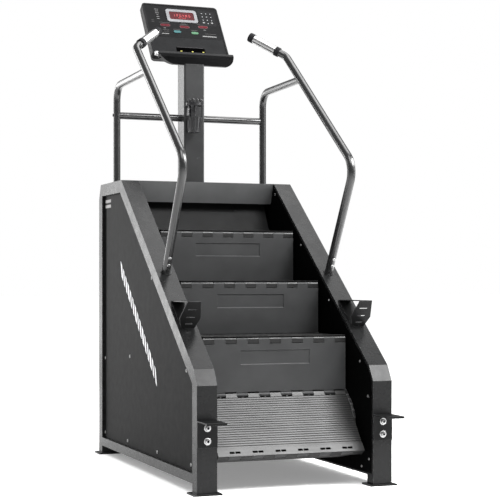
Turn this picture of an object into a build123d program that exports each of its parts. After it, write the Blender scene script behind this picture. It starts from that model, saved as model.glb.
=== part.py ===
from build123d import *
import math
import os

os.makedirs("parts", exist_ok=True)

# Driving dimensions, mm. Side views are drawn with y measured from the front face of the front posts.
Y0 = 647.5
HALF_W = 375.0
TUBE_W = 75.0
INNER_X = HALF_W - TUBE_W
TUBE_H = 50.0
WALL = 3.0
FOOT = 6.0
RAIL_X = 337.5
FRONT_Y = 25.0
REAR_Y = 1297.0
SILL = (37.0, 72.0)
OUTER = [(0, FOOT), (0, 381), (35, 437), (970, 1158.5), (1294, 1158.5), (1322, 1097), (1322, FOOT)]
OPENING = [(50, 72), (50, 385.4), (987, 1108.5), (1272, 1108.5), (1272, 72)]
SLOPE = math.atan2(1158.5 - 437, 970 - 35)
TREAD = 256.0
RISE = 203.0
PITCH = math.hypot(TREAD, RISE)
STEP_HALF = 283.0
UNIT = 2 * STEP_HALF / 13
BARREL = 12.0
ROD = 5.0
SPROCKET_R = 118.0
FIRST_HINGE = (216.0, 325.0)
LEAD = 40.0
STEPS = 9
DOWN = (-TREAD / PITCH, -RISE / PITCH)
OUT = (-RISE / PITCH, TREAD / PITCH)
RUN = (STEPS * PITCH - 2 * math.pi * SPROCKET_R) / 2
RAIL_R = 16.0
SUPPORT_R = 15.0
SUPPORT = (333.0, 1186.5)
FACE_BOTTOM = (1179.0, 1721.0)
FACE_TOP = (1358.0, 1972.0)
FACE_W = 350.0
CONSOLE_D = 55.0
COLUMN = (1141.6, 1238.0)


def side(x):
    return Plane(origin=(x, -Y0, 0), x_dir=(0, 1, 0), z_dir=(1, 0, 0))


def inset(points, distance):
    lines = []
    for i, a in enumerate(points):
        b = points[(i + 1) % len(points)]
        length = math.hypot(b[0] - a[0], b[1] - a[1])
        d = ((b[0] - a[0]) / length, (b[1] - a[1]) / length)
        lines.append(((a[0] + d[1] * distance, a[1] - d[0] * distance), d))
    corners = []
    for i, (p, d) in enumerate(lines):
        q, e = lines[i - 1]
        t = ((q[0] - p[0]) * e[1] - (q[1] - p[1]) * e[0]) / (d[0] * e[1] - d[1] * e[0])
        corners.append((p[0] + t * d[0], p[1] + t * d[1]))
    return corners


def walk(distance):
    """Point of the chain line this far past the first hinge, going down the front run."""
    cb = (
        FIRST_HINGE[0] + LEAD * DOWN[0] - SPROCKET_R * OUT[0],
        FIRST_HINGE[1] + LEAD * DOWN[1] - SPROCKET_R * OUT[1],
    )
    ct = (cb[0] - RUN * DOWN[0], cb[1] - RUN * DOWN[1])
    arc = math.pi * SPROCKET_R
    u = (distance - LEAD) % (STEPS * PITCH)
    if u < arc:
        a = math.atan2(OUT[1], OUT[0]) + u / SPROCKET_R
        return (cb[0] + SPROCKET_R * math.cos(a), cb[1] + SPROCKET_R * math.sin(a))
    u -= arc
    if u < RUN:
        return (cb[0] - SPROCKET_R * OUT[0] - u * DOWN[0], cb[1] - SPROCKET_R * OUT[1] - u * DOWN[1])
    u -= RUN
    if u < arc:
        a = math.atan2(-OUT[1], -OUT[0]) + u / SPROCKET_R
        return (ct[0] + SPROCKET_R * math.cos(a), ct[1] + SPROCKET_R * math.sin(a))
    u -= arc
    return (ct[0] + SPROCKET_R * OUT[0] + u * DOWN[0], ct[1] + SPROCKET_R * OUT[1] + u * DOWN[1])


def apex(p, q):
    d = math.hypot(q[0] - p[0], q[1] - p[1])
    u = ((q[0] - p[0]) / d, (q[1] - p[1]) / d)
    m = (TREAD**2 - RISE**2 + d * d) / (2 * d)
    h = math.sqrt(TREAD**2 - m * m)
    return (p[0] + m * u[0] + h * u[1], p[1] + m * u[1] - h * u[0])


HEEL = [walk((k - 3) * PITCH) for k in range(STEPS)]
NOSE = [apex(HEEL[k], HEEL[(k + 1) % STEPS]) for k in range(STEPS)]
BOTTOM_C = (
    FIRST_HINGE[0] + LEAD * DOWN[0] - SPROCKET_R * OUT[0],
    FIRST_HINGE[1] + LEAD * DOWN[1] - SPROCKET_R * OUT[1],
)
TOP_C = (BOTTOM_C[0] - RUN * DOWN[0], BOTTOM_C[1] - RUN * DOWN[1])


def save(part, name):
    part.part.label = name
    export_step(part.part, "parts/" + name + ".step")


def rail_points(sign):
    return [
        (sign * 336.5, 478 - Y0, 779.0),
        (sign * 338.0, 245 - Y0, 1181.0),
        (sign * 330.0, 906 - Y0, 1695.5),
        (sign * 207.0, 1006.7 - Y0, 1785.0),
    ]


def slope_plane(x, y):
    z = 437 + (y - 35) * math.tan(SLOPE)
    return Plane(origin=(x, y - Y0, z), x_dir=(1, 0, 0), z_dir=(0, -math.sin(SLOPE), math.cos(SLOPE)))


def rail_foot(sign):
    points = rail_points(sign)
    foot = Vector(*points[0])
    return foot, (Vector(*points[1]) - foot).normalized()


def side_frame(sign, name):
    low = -HALF_W if sign < 0 else INNER_X
    with BuildPart() as frame:
        with BuildSketch(side(low)):
            Polygon(*OUTER, align=None)
            Polygon(*OPENING, align=None, mode=Mode.SUBTRACT)
            with Locations((661, SILL[0] / 2)):
                Rectangle(1222, SILL[0], mode=Mode.SUBTRACT)
        extrude(amount=TUBE_W)
        with BuildSketch(side(low + WALL)):
            Polygon(*inset(OUTER, WALL), align=None)
            Polygon(*inset(OPENING, -WALL), align=None, mode=Mode.SUBTRACT)
            with Locations((661, 39), (FRONT_Y, 12), (REAR_Y, 12)):
                Rectangle(1222 + 2 * WALL, 72, mode=Mode.SUBTRACT)
        extrude(amount=TUBE_W - 2 * WALL, mode=Mode.SUBTRACT)
        with BuildSketch(side(low + WALL)):
            with Locations((661, sum(SILL) / 2)):
                Rectangle(1222, SILL[1] - SILL[0] - 2 * WALL)
        extrude(amount=TUBE_W - 2 * WALL, mode=Mode.SUBTRACT)
        with BuildSketch(Plane.XY.offset(FOOT)):
            with Locations((sign * RAIL_X, FRONT_Y - Y0), (sign * RAIL_X, REAR_Y - Y0)):
                Rectangle(TUBE_W - 2 * WALL, TUBE_H - 2 * WALL)
        extrude(amount=200, mode=Mode.SUBTRACT)
        foot, along = rail_foot(sign)
        with BuildSketch(slope_plane(sign * 336.5, 478)):
            Circle(21)
        extrude(amount=3.5)
        with BuildSketch(Plane(origin=foot + along * 4, z_dir=along)):
            Circle(RAIL_R - 2.55)
        extrude(amount=124)
    save(frame, name)


def outer_panel(sign, name):
    low = -HALF_W + 12 if sign < 0 else HALF_W - 14
    with BuildPart() as panel:
        with BuildSketch(side(low)):
            Polygon(*inset(OPENING, 0.2), align=None)
        extrude(amount=2)
    save(panel, name)


def inner_liner(sign, name):
    low = -INNER_X if sign < 0 else INNER_X - 2
    edge = [(12, 44), (12, 378), (44, 428), (968, 1140), (1281, 1140), (1309, 1090), (1309, 44)]
    with BuildPart() as liner:
        with BuildSketch(side(low)):
            Polygon(*edge, align=None)
            with Locations(BOTTOM_C, TOP_C):
                Circle(20, mode=Mode.SUBTRACT)
        extrude(amount=2)
    save(liner, name)


def screw_points(sign):
    outer = [(876, 440), (148, 425), (1259, 414), (573, 755), (909, 95), (501, 95), (96, 96), (1259, 95)]
    inner = [(39, 324), (31, 95), (92, 62), (107, 448), (388, 670), (668, 890), (952, 1112)]
    return outer, inner


def panel_screws():
    with BuildPart() as screws:
        for sign in (-1, 1):
            outer, inner = screw_points(sign)
            start = -HALF_W + 12 if sign < 0 else HALF_W - 12
            with BuildSketch(side(start)):
                with Locations(*outer):
                    Circle(7)
            extrude(amount=3 * sign)
            with BuildSketch(side(sign * (INNER_X - 2))):
                with Locations(*inner):
                    Circle(5.5)
            extrude(amount=-2.5 * sign)
    save(screws, "panel_screws")


def foot_plates():
    with BuildPart() as feet:
        with BuildSketch(Plane.XY):
            for y in (FRONT_Y, REAR_Y):
                with Locations((-RAIL_X, y - Y0), (RAIL_X, y - Y0)):
                    Rectangle(105, 80)
        extrude(amount=FOOT)
    save(feet, "foot_plates")


def top_crossbeam():
    half = INNER_X - 2
    fascia = [(970.5, 1158.5), (1002, 1073.5), (1005.8, 1074.9), (976.9, 1152.5)]
    with BuildPart() as beam:
        with BuildSketch(side(-half)):
            Polygon(*fascia, (1294, 1152.5), (1294, 1158.5), align=None)
        extrude(amount=2 * half)
    save(beam, "top_crossbeam")


def rear_crossmember():
    half = INNER_X - 2
    with BuildPart() as member:
        with BuildSketch(side(-half)):
            with Locations((REAR_Y, 31)):
                Rectangle(50, 50)
                Rectangle(44, 44, mode=Mode.SUBTRACT)
        extrude(amount=2 * half)
    save(member, "rear_crossmember")


def rear_cover():
    x = INNER_X - 2.3
    outer = [(1313, 56.2), (1313, 480), (1360, 620), (1360, 1000), (1313, 1120), (1283, 1152.3)]
    back = [(p[0] - 2, p[1]) for p in reversed(outer)]
    cheek = [(1309.5, 480), (1313, 480), (1360, 620), (1360, 1000), (1313, 1120), (1309.5, 1120)]
    with BuildPart() as cover:
        with BuildSketch(side(-x)):
            Polygon(*outer, *back, align=None)
        extrude(amount=2 * x)
        for start in (-x, x - 2):
            with BuildSketch(side(start)):
                Polygon(*cheek, align=None)
            extrude(amount=2)
        with BuildSketch(Plane(origin=(0, 1323 - Y0, 0), x_dir=(1, 0, 0), z_dir=(0, -1, 0))):
            with Locations((-180, 170)):
                Rectangle(50, 32)
            with Locations((-180, 215)):
                Rectangle(22, 30)
            for i in range(7):
                with Locations((0, 260 + 24 * i)):
                    SlotOverall(260, 8)
        extrude(amount=20, mode=Mode.SUBTRACT)
    save(cover, "rear_cover")


def column():
    with BuildPart() as post:
        with BuildSketch(Plane.XY.offset(1158.5)):
            with Locations((0, sum(COLUMN) / 2 - Y0)):
                RectangleRounded(92, COLUMN[1] - COLUMN[0], 8)
                RectangleRounded(92 - 2 * WALL, COLUMN[1] - COLUMN[0] - 2 * WALL, 5, mode=Mode.SUBTRACT)
        extrude(amount=1715 - 1158.5)
        with BuildSketch(Plane.XY.offset(1711)):
            with Locations((0, sum(COLUMN) / 2 - Y0)):
                RectangleRounded(92, COLUMN[1] - COLUMN[0], 8)
        extrude(amount=4)
        with BuildSketch(console_plane(-CONSOLE_D)):
            Rectangle(300, FACE_H)
        extrude(amount=200, mode=Mode.SUBTRACT)
    save(post, "column")


def console_plane(w=0.0):
    run = FACE_TOP[0] - FACE_BOTTOM[0]
    height = FACE_TOP[1] - FACE_BOTTOM[1]
    length = math.hypot(run, height)
    normal = (0, -height / length, run / length)
    y = (FACE_TOP[0] + FACE_BOTTOM[0]) / 2 - Y0
    z = (FACE_TOP[1] + FACE_BOTTOM[1]) / 2
    return Plane(origin=(0, y + w * normal[1], z + w * normal[2]), x_dir=(1, 0, 0), z_dir=normal)


FACE_H = math.hypot(FACE_TOP[0] - FACE_BOTTOM[0], FACE_TOP[1] - FACE_BOTTOM[1])


def face(u, v):
    return ((u - 0.5) * FACE_W, (0.5 - v) * FACE_H)


def console_housing():
    with BuildPart() as shell:
        with BuildSketch(console_plane(-CONSOLE_D)):
            RectangleRounded(FACE_W - 16, FACE_H - 16, 14)
        with BuildSketch(console_plane(-CONSOLE_D + 22)):
            RectangleRounded(FACE_W, FACE_H, 16)
        loft()
        with BuildSketch(console_plane(-CONSOLE_D + 22)):
            RectangleRounded(FACE_W, FACE_H, 16)
        extrude(amount=CONSOLE_D - 22)
        with BuildSketch(console_plane(-CONSOLE_D + 4)):
            RectangleRounded(FACE_W - 26, FACE_H - 26, 11)
        extrude(amount=CONSOLE_D, mode=Mode.SUBTRACT)
        with BuildSketch(console_plane(-5)):
            RectangleRounded(FACE_W - 14, FACE_H - 14, 10)
        extrude(amount=10, mode=Mode.SUBTRACT)
    save(shell, "console_housing")


BUTTONS = {"start_button": (0.39, 0.54), "cool_down_button": (0.62, 0.547)}
SCREEN = (0.5, 0.218)
KEYS = (0.835, 0.235)
TRAY_SLOT = (0.51, 0.903)


def console_fascia():
    with BuildPart() as fascia:
        with BuildSketch(console_plane(-5)):
            RectangleRounded(FACE_W - 14, FACE_H - 14, 10)
            with Locations(face(*SCREEN)):
                Rectangle(110, 40, mode=Mode.SUBTRACT)
            for spot in BUTTONS.values():
                with Locations(face(*spot)):
                    SlotOverall(34, 14, mode=Mode.SUBTRACT)
            with Locations(face(*TRAY_SLOT)):
                RectangleRounded(132, 22, 4, mode=Mode.SUBTRACT)
        extrude(amount=3)
    save(fascia, "console_fascia")


def push_button(name):
    with BuildPart() as button:
        with BuildSketch(console_plane(-7)):
            with Locations(face(*BUTTONS[name])):
                SlotOverall(33.4, 13.4)
        extrude(amount=7.5)
    save(button, name)


def display_bezel():
    with BuildPart() as bezel:
        with BuildSketch(console_plane(-2)):
            with Locations(face(*SCREEN)):
                RectangleRounded(142, 77, 13)
                RectangleRounded(114, 48, 6, mode=Mode.SUBTRACT)
        extrude(amount=3)
    save(bezel, "display_bezel")


def display_window():
    with BuildPart() as window:
        with BuildSketch(console_plane(-2)):
            with Locations(face(*SCREEN)):
                RectangleRounded(113.6, 47.6, 6)
        extrude(amount=1.5)
    save(window, "display_window")


def keypad():
    with BuildPart() as pad:
        with BuildSketch(console_plane(-2)):
            with Locations(face(*KEYS)):
                RectangleRounded(76, 92, 6)
        extrude(amount=0.6)
        with BuildSketch(console_plane(-1.4)):
            with Locations(face(*KEYS)):
                with GridLocations(20, 20, 3, 4):
                    Circle(6)
        extrude(amount=0.6)
    save(pad, "keypad")


def console_tray():
    """Moulded shelf under the face; its lower edge sweeps up to both ends."""
    rim = [(-8, 0), (-50, 6), (-60, -4), (-58, -16), (-34, -46), (-8, -46)]
    start = Plane(origin=(-165, FACE_BOTTOM[0] - Y0, FACE_BOTTOM[1]), x_dir=(0, 1, 0), z_dir=(1, 0, 0))
    front = Plane(origin=(0, FACE_BOTTOM[0] - 80 - Y0, FACE_BOTTOM[1]), x_dir=(1, 0, 0), z_dir=(0, -1, 0))
    with BuildPart() as tray:
        with BuildSketch(start):
            Polygon(*rim, align=None)
        extrude(amount=337)
        fillet(tray.edges().filter_by(Axis.X), radius=4)
        with BuildSketch(front):
            with BuildLine():
                Polyline((-165, 20), (172, 20), (172, -26))
                ThreePointArc((172, -26), (164, -39), (140, -46))
                Line((140, -46), (-40, -46))
                ThreePointArc((-40, -46), (-128, -34), (-165, -8))
                Line((-165, -8), (-165, 20))
            make_face()
        extrude(amount=-200, mode=Mode.INTERSECT)
        with BuildSketch(start.offset(10)):
            Polygon((-15, 10), (-46, 10), (-50, -8), (-36, -22), (-15, -22), align=None)
        extrude(amount=317, mode=Mode.SUBTRACT)
        with BuildSketch(start.offset(70)):
            Polygon((-15, 0), (-40, 0), (-48, -14), (-32, -40), (-15, -40), align=None)
        extrude(amount=230, mode=Mode.SUBTRACT)
        with BuildSketch(console_plane(-CONSOLE_D)):
            Rectangle(FACE_W + 0.6, FACE_H + 0.6)
        extrude(amount=90, mode=Mode.SUBTRACT)
        with BuildSketch(Plane.XY.offset(1600)):
            with Locations((0, sum(COLUMN) / 2 - Y0)):
                RectangleRounded(92.6, COLUMN[1] - COLUMN[0] + 0.6, 8)
        extrude(amount=300, mode=Mode.SUBTRACT)
    save(tray, "console_tray")


def tray_knob():
    centre = (-165.5, FACE_BOTTOM[0] - 40 - Y0, FACE_BOTTOM[1] - 5)
    with BuildPart() as knob:
        with BuildSketch(Plane(origin=centre, z_dir=(-1, 0, 0))):
            Circle(10)
        extrude(amount=12)
        chamfer(knob.faces().sort_by(Axis.X)[0].edges(), length=1.5)
    save(knob, "tray_knob")


def tube_path(points, radii):
    """Straight legs joined by arcs, as edges of the line being built."""
    at = Vector(*points[0])
    for i in range(1, len(points) - 1):
        corner = Vector(*points[i])
        before = (corner - Vector(*points[i - 1])).normalized()
        after = (Vector(*points[i + 1]) - corner).normalized()
        turn = math.radians(before.get_angle(after))
        reach = radii[i - 1] * math.tan(turn / 2)
        bisector = (after - before).normalized()
        depth = radii[i - 1] / math.cos(turn / 2) - radii[i - 1]
        start = corner - before * reach
        end = corner + after * reach
        Line(at, start)
        ThreePointArc(start, corner + bisector * depth, end)
        at = end
    Line(at, Vector(*points[-1]))


def handrail(sign, name):
    points = rail_points(sign)
    with BuildPart() as rail:
        with BuildLine() as path:
            tube_path(points, [80, 55])
        with BuildSketch(Plane(origin=path.line @ 0, z_dir=path.line % 0)):
            Circle(RAIL_R)
            Circle(RAIL_R - 2.5, mode=Mode.SUBTRACT)
        sweep(path=path.line)
        with BuildSketch(slope_plane(sign * 336.5, 478).offset(4)):
            Rectangle(80, 80)
        extrude(amount=-40, mode=Mode.SUBTRACT)
    save(rail, name)


def rear_support(sign, name):
    points = [
        (sign * SUPPORT[0], SUPPORT[1] - Y0, 1158.5),
        (sign * SUPPORT[0], SUPPORT[1] - Y0, 1573.0),
        (sign * 331.8, 755 - Y0, 1578.0),
    ]
    rail = rail_points(sign)
    along = (Vector(*rail[2]) - Vector(*rail[1])).normalized()
    with BuildPart() as support:
        with BuildLine() as path:
            tube_path(points, [65])
        with BuildSketch(Plane(origin=path.line @ 0, z_dir=path.line % 0)):
            Circle(SUPPORT_R)
            Circle(SUPPORT_R - 2, mode=Mode.SUBTRACT)
        sweep(path=path.line)
        with BuildSketch(Plane(origin=Vector(*rail[1]), z_dir=along)):
            Circle(RAIL_R + 0.05)
        extrude(amount=900, mode=Mode.SUBTRACT)
    save(support, name)


def crossbar():
    with BuildPart() as bar:
        for sign in (-1, 1):
            with BuildSketch(Plane(origin=(sign * 46, SUPPORT[1] + 7 - Y0, 1449), z_dir=(sign, 0, 0))):
                Circle(SUPPORT_R)
                Circle(SUPPORT_R - 2, mode=Mode.SUBTRACT)
            extrude(amount=SUPPORT[0] - 46)
            with BuildSketch(Plane.XY.offset(1400)):
                with Locations((sign * SUPPORT[0], SUPPORT[1] - Y0)):
                    Circle(SUPPORT_R + 0.05)
            extrude(amount=100, mode=Mode.SUBTRACT)
        with BuildSketch(Plane(origin=(-SUPPORT[0] - SUPPORT_R, SUPPORT[1] - Y0, 1449), z_dir=(-1, 0, 0))):
            Circle(6)
        extrude(amount=5)
    save(bar, "crossbar")


def grip_frame(sign):
    points = rail_points(sign)
    end = Vector(*points[3])
    along = (end - Vector(*points[2])).normalized()
    return end, along


def pulse_grip(sign, name):
    end, along = grip_frame(sign)
    with BuildPart() as grip:
        with BuildSketch(Plane(origin=end - along * 128, x_dir=(0, -along.Z, along.Y), z_dir=along)):
            Circle(RAIL_R + 2.5)
            Circle(RAIL_R + 0.05, mode=Mode.SUBTRACT)
            Rectangle(3, 60, mode=Mode.SUBTRACT)
        extrude(amount=108)
    save(grip, name)


def grip_collars():
    with BuildPart() as collars:
        for sign in (-1, 1):
            end, along = grip_frame(sign)
            for start in (147, 19):
                with BuildSketch(Plane(origin=end - along * start, z_dir=along)):
                    Circle(RAIL_R + 4)
                    Circle(RAIL_R + 0.05, mode=Mode.SUBTRACT)
                extrude(amount=18.5)
            with BuildSketch(Plane(origin=end + along * 0.2, z_dir=along)):
                Circle(RAIL_R + 3)
            extrude(amount=4)
    save(collars, "grip_collars")


def on_slope(s, h):
    return (35 + s * math.cos(SLOPE) - h * math.sin(SLOPE), 437 + s * math.sin(SLOPE) + h * math.cos(SLOPE))


def rail_bracket(sign, name):
    foot = on_slope(227, 0.1)
    up = (-math.sin(SLOPE), math.cos(SLOPE))
    length = (672 - foot[1]) / up[1]
    tip = foot[0] + up[0] * length
    with BuildPart() as bracket:
        with BuildSketch(side(sign * RAIL_X - 25)):
            Polygon((tip, 672), (335, 672), (331.5, 669), (tip, 669), align=None)
            low, high = [(on_slope(d, 0.1), on_slope(d, 3.1)) for d in (227, 378)]
            Polygon(low[0], high[0], high[1], low[1], align=None)
        extrude(amount=50)
        foot_at = (sign * RAIL_X, foot[0] - Y0, foot[1])
        plate = Plane(origin=foot_at, x_dir=(1, 0, 0), z_dir=(0, -up[1], up[0]))
        with BuildSketch(plate):
            Polygon((-25, 0), (25, 0), (40, 45), (25, length), (-25, length), (-40, 45), align=None)
            with Locations((0, 50), (0, 85)):
                SlotOverall(33, 5, mode=Mode.SUBTRACT)
            with Locations((0, 20)):
                SlotOverall(28, 5, mode=Mode.SUBTRACT)
        extrude(amount=3)
    save(bracket, name)


def front_bracket(sign, name):
    outline = [(0, 165), (0, 260), (-103, 260), (-103, 252), (-99, 252), (-99, 256), (-4, 256), (-4, 165)]
    with BuildPart() as bracket:
        with BuildSketch(side(sign * RAIL_X - TUBE_W / 2)):
            Polygon(*outline, align=None)
        extrude(amount=TUBE_W)
        with BuildSketch(Plane(origin=(sign * RAIL_X, -Y0, 0), x_dir=(1, 0, 0), z_dir=(0, -1, 0))):
            with Locations((0, 234), (0, 188)):
                Circle(5.5)
        extrude(amount=6, mode=Mode.SUBTRACT)
    save(bracket, name)


def socket_bolts():
    with BuildPart() as bolts:
        for sign in (-1, 1):
            foot, along = rail_foot(sign)
            across = Vector(0, -along.Z, along.Y)
            for distance in (38, 68):
                seat = foot + along * distance + across * (RAIL_R + 0.2)
                with BuildSketch(Plane(origin=seat, z_dir=across)):
                    Circle(6.5)
                extrude(amount=5)
                with BuildSketch(Plane(origin=seat + across * 5, z_dir=across)):
                    RegularPolygon(3.2, 6)
                extrude(amount=-3, mode=Mode.SUBTRACT)
            with BuildSketch(Plane(origin=(sign * RAIL_X, -4 - Y0, 0), x_dir=(1, 0, 0), z_dir=(0, -1, 0))):
                with Locations((0, 234), (0, 188)):
                    Circle(13)
            extrude(amount=2)
            with BuildSketch(Plane(origin=(sign * RAIL_X, -6 - Y0, 0), x_dir=(1, 0, 0), z_dir=(0, -1, 0))):
                with Locations((0, 234), (0, 188)):
                    Circle(8.5)
            extrude(amount=8)
            with BuildSketch(Plane(origin=(sign * RAIL_X, -14 - Y0, 0), x_dir=(1, 0, 0), z_dir=(0, -1, 0))):
                with Locations((0, 234), (0, 188)):
                    RegularPolygon(5, 6)
            extrude(amount=-5, mode=Mode.SUBTRACT)
            with BuildSketch(Plane(origin=(sign * RAIL_X, -4 - Y0, 0), x_dir=(1, 0, 0), z_dir=(0, 1, 0))):
                with Locations((0, -234), (0, -188)):
                    Circle(5.4)
            extrude(amount=4)
    save(bolts, "socket_bolts")


def bottle_cage():
    """Tapered cup under an open ring, joined by straps to a plate on the column."""
    x, y = -14, COLUMN[0] - 38 - Y0
    with BuildPart() as cage:
        with BuildSketch(Plane.XY.offset(1380)):
            with Locations((x, y)):
                Circle(24)
        with BuildSketch(Plane.XY.offset(1445)):
            with Locations((x, y)):
                Circle(31)
        loft()
        with BuildSketch(Plane.XY.offset(1384)):
            with Locations((x, y)):
                Circle(21)
        with BuildSketch(Plane.XY.offset(1446)):
            with Locations((x, y)):
                Circle(28)
        loft(mode=Mode.SUBTRACT)
        with BuildSketch(Plane.XY.offset(1494)):
            with Locations((x, y)):
                Circle(36)
                Circle(32.5, mode=Mode.SUBTRACT)
        extrude(amount=12)
        for angle, width in ((200, 11), (340, 7), (270, 8)):
            a = math.radians(angle)
            turned = Plane(origin=(x, y, 1440), x_dir=(-math.sin(a), math.cos(a), 0))
            with BuildSketch(turned):
                with Locations((0, -30)):
                    Rectangle(width, 3)
            with BuildSketch(turned.offset(56)):
                with Locations((0, -34)):
                    Rectangle(width, 3)
            loft()
        with BuildSketch(Plane.XY.offset(1400)):
            with Locations((x, COLUMN[0] - 2.1 - Y0)):
                Rectangle(40, 4)
            with Locations((x, COLUMN[0] - 7 - Y0)):
                Rectangle(14, 13.8)
        extrude(amount=118)
    save(cage, "bottle_cage")


def knuckle_xs(count):
    return [(i - (count - 1) / 2) * 2 * UNIT for i in range(count)]


def piece_plane(x, start, end):
    length = math.hypot(end[0] - start[0], end[1] - start[1])
    along = ((end[0] - start[0]) / length, (end[1] - start[1]) / length)
    return Plane(origin=(x, start[0] - Y0, start[1]), x_dir=(0, *along), z_dir=(1, 0, 0))


def tread(heel, nose, name):
    """Ribbed plate between two hinge lines, with a lip over the nose; its outer side is local -y."""
    ribs = [(14, -5), (14, -BARREL)]
    for i in range(22):
        u = 17 + i * 9.8
        ribs += [(u, -BARREL), (u, -BARREL + 2), (u + 4.4, -BARREL + 2), (u + 4.4, -BARREL)]
    ribs += [(TREAD - 20, -BARREL), (TREAD - 20, -BARREL - 2.4), (TREAD + BARREL, -BARREL - 2.4)]
    ribs += [(TREAD + BARREL, -BARREL - 0.4), (TREAD - 14, -BARREL - 0.4), (TREAD - 14, -5)]
    with BuildPart() as plate:
        with BuildSketch(piece_plane(-STEP_HALF, heel, nose)):
            Polygon(*ribs, align=None)
        extrude(amount=2 * STEP_HALF)
        for x in knuckle_xs(7):
            with BuildSketch(piece_plane(x - UNIT / 2 + 0.5, heel, nose)):
                Circle(BARREL)
                with Locations((TREAD, 0)):
                    Circle(BARREL)
                with Locations((8, -BARREL / 2), (TREAD - 8, -BARREL / 2)):
                    Rectangle(16, BARREL)
                with Locations((TREAD + BARREL / 2, BARREL / 2)):
                    Rectangle(BARREL, BARREL)
            extrude(amount=UNIT - 1)
        with BuildSketch(piece_plane(-STEP_HALF + 1, heel, nose)):
            Circle(ROD)
            with Locations((TREAD, 0)):
                Circle(ROD)
        extrude(amount=2 * STEP_HALF - 2)
    save(plate, name)


def riser(nose, heel, name, open_end=False):
    """Plate with a pressed-in panel, hanging from a nose line down to the next heel line."""
    end_bore = ROD + 2.4 if open_end else ROD + 0.05
    with BuildPart() as plate:
        with BuildSketch(piece_plane(-STEP_HALF, nose, heel)):
            with Locations((RISE / 2, -BARREL + 1.5)):
                Rectangle(RISE - 28, 3)
            with Locations((15.5, -6.5), (RISE - 15.5, -6.5)):
                Rectangle(3, 11)
        extrude(amount=2 * STEP_HALF)
        with BuildSketch(piece_plane(-141, nose, heel)):
            with Locations((64, -BARREL + 3.4)):
                Rectangle(58, 2.4)
        extrude(amount=282)
        with BuildSketch(piece_plane(-137, nose, heel)):
            pressed = [(37.5, -BARREL - 0.1), (90.5, -BARREL - 0.1), (87.5, -BARREL + 2.6), (40.5, -BARREL + 2.6)]
            Polygon(*pressed, align=None)
        extrude(amount=274, mode=Mode.SUBTRACT)
        for x in knuckle_xs(6):
            with BuildSketch(piece_plane(x - UNIT / 2 + 0.5, nose, heel)):
                Circle(BARREL)
                with Locations((RISE, 0)):
                    Circle(BARREL)
                with Locations((8, -BARREL / 2)):
                    Rectangle(16, BARREL)
                with Locations((RISE - 8, -4.5)):
                    Rectangle(15, 9)
                Circle(ROD + 0.05, mode=Mode.SUBTRACT)
                with Locations((RISE, 0)):
                    Circle(end_bore, mode=Mode.SUBTRACT)
            extrude(amount=UNIT - 1)
    save(plate, name)


def sprocket_shaft(centre, name, drum):
    with BuildPart() as shaft:
        with BuildSketch(side(-328.5)):
            with Locations(centre):
                Circle(15)
        extrude(amount=657)
        for x in (-294, 286):
            with BuildSketch(side(x)):
                with Locations(centre):
                    Circle(110)
                    Circle(15, mode=Mode.SUBTRACT)
                    with PolarLocations(68, 5):
                        Circle(22, mode=Mode.SUBTRACT)
            extrude(amount=8)
        with BuildSketch(side(-60)):
            with Locations(centre):
                Circle(drum)
        extrude(amount=120)
    save(shaft, name)


def chain_loops():
    with BuildPart() as chains:
        for x in (-294.5, 284.5):
            centre = (x, BOTTOM_C[0] - Y0, BOTTOM_C[1])
            turned = Plane(origin=centre, x_dir=(0, -DOWN[0], -DOWN[1]), z_dir=(1, 0, 0))
            with BuildSketch(turned):
                with Locations((RUN / 2, 0)):
                    SlotCenterToCenter(RUN, 2 * (SPROCKET_R + 6))
                    SlotCenterToCenter(RUN, 2 * (SPROCKET_R - 6), mode=Mode.SUBTRACT)
            extrude(amount=10)
    save(chains, "chain_loops")


def shaft_bearings():
    with BuildPart() as bearings:
        for x in (-328.5, 300.5):
            for centre in (BOTTOM_C, TOP_C):
                with BuildSketch(side(x)):
                    with Locations(centre):
                        Circle(34)
                        Circle(15.05, mode=Mode.SUBTRACT)
                extrude(amount=28)
        for x in (-INNER_X - 4.5, INNER_X):
            for centre in (BOTTOM_C, TOP_C):
                with BuildSketch(side(x)):
                    with Locations(centre):
                        Rectangle(110, 70)
                        Circle(20, mode=Mode.SUBTRACT)
                extrude(amount=4.5)
    save(bearings, "shaft_bearings")


def brake_unit():
    with BuildPart() as brake:
        with BuildSketch(side(70)):
            with Locations(TOP_C):
                Circle(86)
                Circle(15.5, mode=Mode.SUBTRACT)
        extrude(amount=110)
        with BuildSketch(side(90)):
            with Locations((820, 680)):
                Rectangle(60, 60)
                Rectangle(54, 54, mode=Mode.SUBTRACT)
            with BuildLine():
                Polyline((850, 700), (1060, 850), (1060, 870), (850, 725), close=True)
            make_face()
        extrude(amount=40)
        with BuildSketch(side(-297.8)):
            with Locations((820, 680)):
                Rectangle(60, 60)
                Rectangle(54, 54, mode=Mode.SUBTRACT)
        extrude(amount=595.6)
    save(brake, "brake_unit")


def power_inlet():
    back = Plane(origin=(-180, 1313 - Y0, 170), x_dir=(-1, 0, 0), z_dir=(0, 1, 0))
    with BuildPart() as inlet:
        with BuildSketch(back.offset(-24)):
            Rectangle(49.4, 31.4)
        extrude(amount=24)
        with BuildSketch(back):
            RectangleRounded(62, 40, 4)
        extrude(amount=3)
        with BuildSketch(back.offset(3)):
            RectangleRounded(25, 17, 3)
        extrude(amount=-18, mode=Mode.SUBTRACT)
        with BuildSketch(back.offset(-16)):
            with Locations((-7, -1.5), (7, -1.5), (0, 3)):
                Rectangle(2, 5)
        extrude(amount=12)
    save(inlet, "power_inlet")


def power_switch():
    with BuildPart() as switch:
        with BuildSketch(Plane(origin=(-190, 1310 - Y0, 215), x_dir=(0, 1, 0), z_dir=(1, 0, 0))):
            Polygon((-8, -9), (3, -12.5), (5, -12.5), (4, 0), (8, 12.5), (3, 13), (-8, 9), align=None)
        extrude(amount=20)
    save(switch, "power_switch")


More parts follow.
